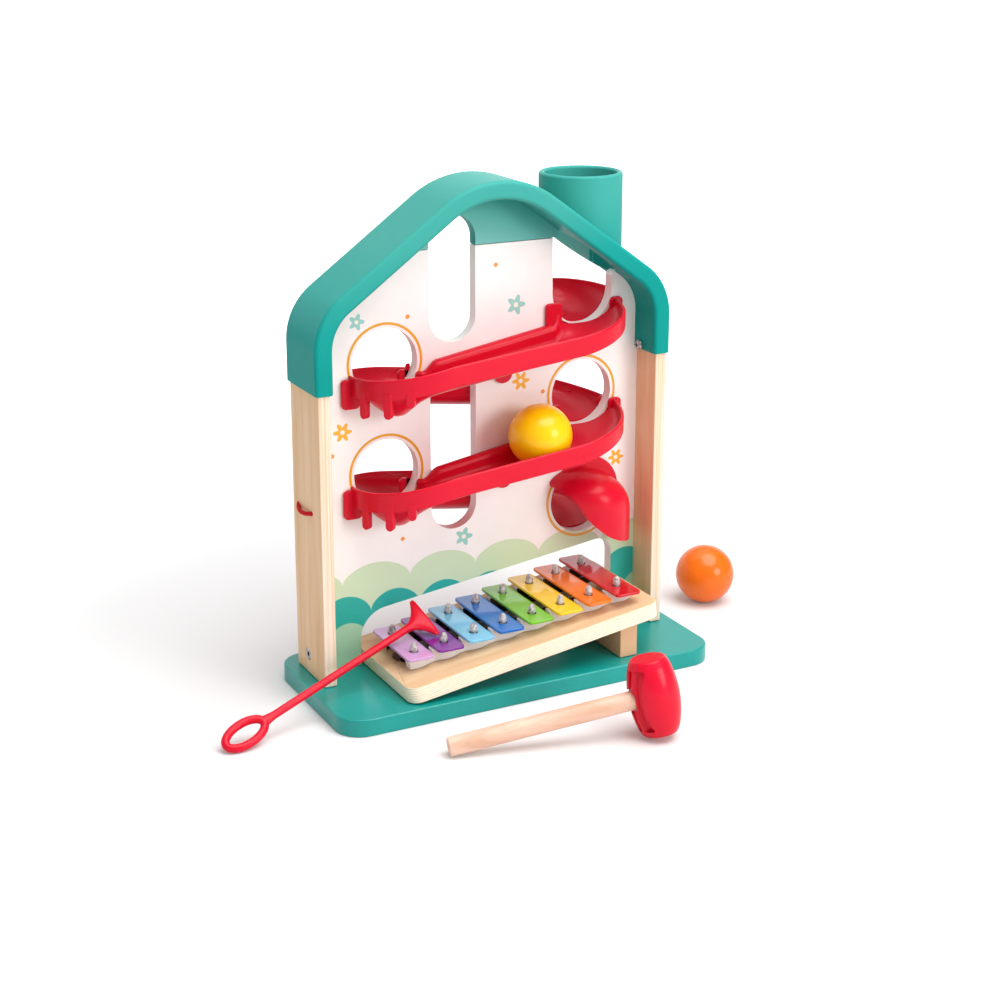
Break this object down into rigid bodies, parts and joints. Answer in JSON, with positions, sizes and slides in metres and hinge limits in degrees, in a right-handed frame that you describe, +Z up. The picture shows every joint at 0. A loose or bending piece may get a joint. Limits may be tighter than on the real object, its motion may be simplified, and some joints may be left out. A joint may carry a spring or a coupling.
{
  "type": "ball run toy",
  "caption": "House-shaped wooden ball run: a ball drops in the chimney, rolls down side-to-side troughs and over a tilted xylophone; with hammer, mallet and balls.",
  "frame": {"origin": "centre of the base board's underside", "axes": "+X to the right seen from the front, +Y to the back, +Z up"},
  "size_m": [0.4527, 0.2538, 0.3565],
  "materials": {
    "teal_paint": "satin paint",
    "white_paint": "satin paint",
    "pale_wood": "clear satin",
    "plywood": "clear satin",
    "teal_plastic": "satin",
    "red_plastic": "gloss",
    "red_cord": "woven cord",
    "soft_clear": "soft, frosted",
    "pin_plastic": "satin",
    "steel": "zinc plated",
    "yellow_paint": "gloss paint",
    "orange_paint": "gloss paint",
    "bar_colour_1": "lacquered",
    "bar_colour_2": "lacquered",
    "bar_colour_3": "lacquered",
    "bar_colour_4": "lacquered",
    "bar_colour_5": "lacquered",
    "bar_colour_6": "lacquered",
    "bar_colour_7": "lacquered",
    "bar_colour_8": "lacquered"
  },
  "bodies": {
    "house": {"base_board": "teal_paint", "left_post": "pale_wood", "right_post": "pale_wood", "house_panel": "white_paint", "roof_arch": "teal_plastic", "chimney_tube": "teal_plastic", "entry_bowl": "red_plastic", "front_track_upper": "red_plastic", "back_track_upper": "red_plastic", "front_track_lower": "red_plastic", "back_track_lower": "red_plastic", "exit_spout": "red_plastic", "holder_cord": "red_cord", "left_barrel_nut": "steel", "right_barrel_nut": "steel", "left_base_bolt": "steel", "right_base_bolt": "steel", "left_roof_screw": "steel", "right_roof_screw": "steel"},
    "xylophone": {"xylophone_board": "plywood", "xylophone_foot": "pale_wood", "bar_1": "bar_colour_1", "bar_2": "bar_colour_2", "bar_3": "bar_colour_3", "bar_4": "bar_colour_4", "bar_5": "bar_colour_5", "bar_6": "bar_colour_6", "bar_7": "bar_colour_7", "bar_8": "bar_colour_8", "bar_pin_front_1": "pin_plastic", "bar_pin_front_2": "pin_plastic", "bar_pin_front_3": "pin_plastic", "bar_pin_front_4": "pin_plastic", "bar_pin_front_5": "pin_plastic", "bar_pin_front_6": "pin_plastic", "bar_pin_front_7": "pin_plastic", "bar_pin_front_8": "pin_plastic", "bar_pin_back_1": "pin_plastic", "bar_pin_back_2": "pin_plastic", "bar_pin_back_3": "pin_plastic", "bar_pin_back_4": "pin_plastic", "bar_pin_back_5": "pin_plastic", "bar_pin_back_6": "pin_plastic", "bar_pin_back_7": "pin_plastic", "bar_pin_back_8": "pin_plastic", "front_cushion": "soft_clear", "back_cushion": "soft_clear"},
    "mallet": {"mallet": "red_plastic"},
    "hammer": {"hammer_head": "red_plastic", "hammer_handle": "pale_wood"},
    "yellow_ball": {"yellow_ball": "yellow_paint"},
    "orange_ball": {"orange_ball": "orange_paint"}
  },
  "joints": [
    {"name": "xylophone_slide", "type": "slide", "parent": "house", "child": "xylophone", "axis": [0, -1, 0], "range_m": [0, 0.044]},
    {"name": "mallet_lift", "type": "slide", "parent": "xylophone", "child": "mallet", "axis": [0, 0, 1], "range_m": [0, 0.05]},
    {"name": "hammer_lift", "type": "slide", "parent": "house", "child": "hammer", "axis": [0, 0, 1], "range_m": [0, 0.15]},
    {"name": "yellow_ball_roll", "type": "slide", "parent": "house", "child": "yellow_ball", "axis": [-0.9915, 0, -0.1299], "range_m": [-0.01, 0.07]},
    {"name": "orange_ball_roll", "type": "slide", "parent": "house", "child": "orange_ball", "axis": [1, 0, 0], "range_m": [0, 0.1]}
  ]
}
